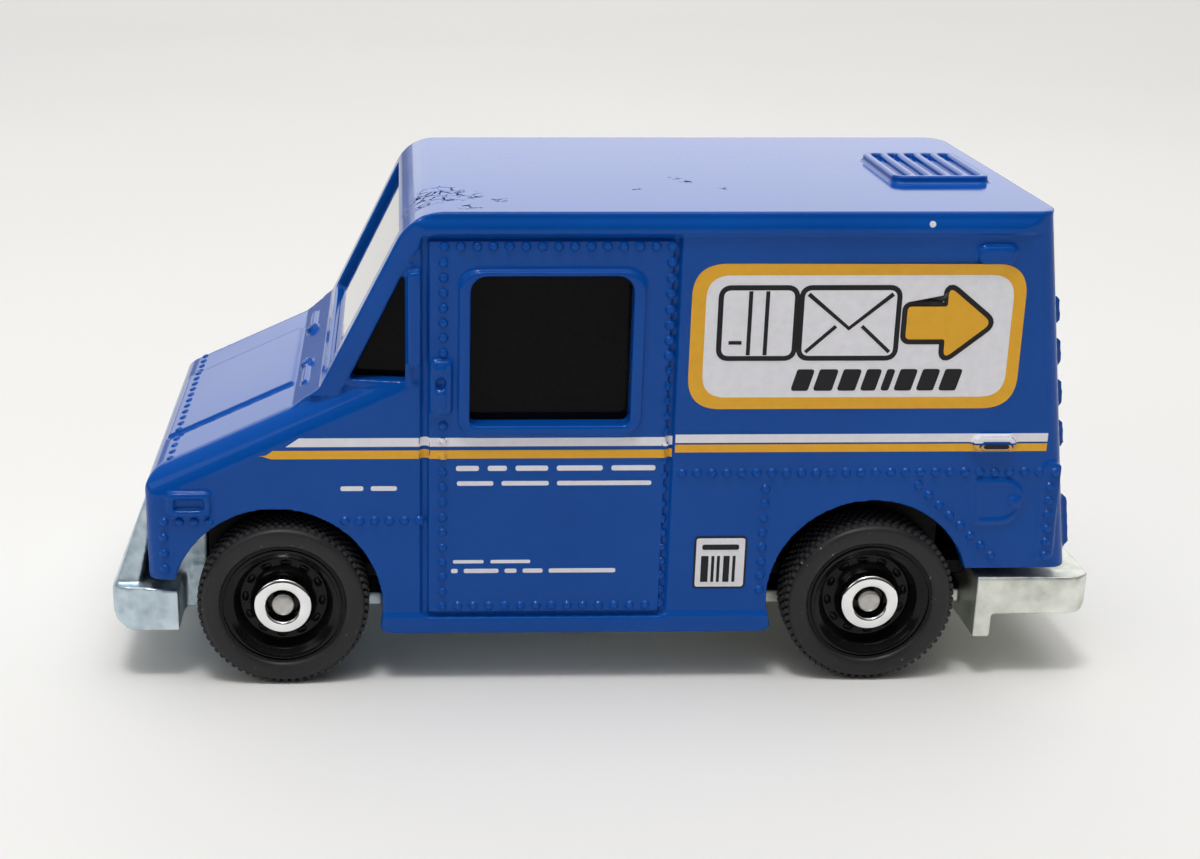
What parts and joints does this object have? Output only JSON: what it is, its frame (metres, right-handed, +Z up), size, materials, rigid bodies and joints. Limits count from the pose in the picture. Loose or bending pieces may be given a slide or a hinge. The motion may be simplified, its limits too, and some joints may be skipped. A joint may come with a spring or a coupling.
{
  "type": "mail delivery truck",
  "caption": "Small die-cast step van with sliding-door body, ribbed back, separate base, axles and free-rolling wheels.",
  "frame": {"origin": "on the ground plane the tyres stand on, midway between the tips of the front and rear bumpers and midway across the truck", "axes": "+X towards the back of the truck, -Y out of the left-hand side, +Z up"},
  "size_m": [0.0672, 0.029, 0.0333],
  "materials": {
    "blue_paint": "gloss",
    "zinc": "satin",
    "dark_glazing": "gloss",
    "black_plastic": "gloss",
    "steel": "polished",
    "tyre": "matte",
    "chrome": "polished"
  },
  "bodies": {
    "chassis": {"body_shell": "blue_paint", "base_plate": "zinc", "window_insert": "dark_glazing", "axle_retainer": "black_plastic", "front_rivet": "zinc", "rear_rivet": "zinc"},
    "front_axle": {"front_axle": "steel"},
    "rear_axle": {"rear_axle": "steel"},
    "wheel_front_left": {"tyre_front_left": "tyre", "rim_front_left": "black_plastic", "hub_front_left": "chrome"},
    "wheel_front_right": {"tyre_front_right": "tyre", "rim_front_right": "black_plastic", "hub_front_right": "chrome"},
    "wheel_rear_left": {"tyre_rear_left": "tyre", "rim_rear_left": "black_plastic", "hub_rear_left": "chrome"},
    "wheel_rear_right": {"tyre_rear_right": "tyre", "rim_rear_right": "black_plastic", "hub_rear_right": "chrome"}
  },
  "joints": [
    {"name": "front_axle_turn", "type": "hinge", "parent": "chassis", "child": "front_axle", "pos_m": [-0.02177, 0, 0.00585], "axis": [0, 1, 0], "continuous": true},
    {"name": "rear_axle_turn", "type": "hinge", "parent": "chassis", "child": "rear_axle", "pos_m": [0.01823, 0, 0.00585], "axis": [0, 1, 0], "continuous": true},
    {"name": "front_left_spin", "type": "hinge", "parent": "front_axle", "child": "wheel_front_left", "pos_m": [-0.02177, -0.0127, 0.00585], "axis": [0, 1, 0], "continuous": true},
    {"name": "front_right_spin", "type": "hinge", "parent": "front_axle", "child": "wheel_front_right", "pos_m": [-0.02177, 0.0127, 0.00585], "axis": [0, 1, 0], "continuous": true},
    {"name": "rear_left_spin", "type": "hinge", "parent": "rear_axle", "child": "wheel_rear_left", "pos_m": [0.01823, -0.0127, 0.00585], "axis": [0, 1, 0], "continuous": true},
    {"name": "rear_right_spin", "type": "hinge", "parent": "rear_axle", "child": "wheel_rear_right", "pos_m": [0.01823, 0.0127, 0.00585], "axis": [0, 1, 0], "continuous": true}
  ]
}
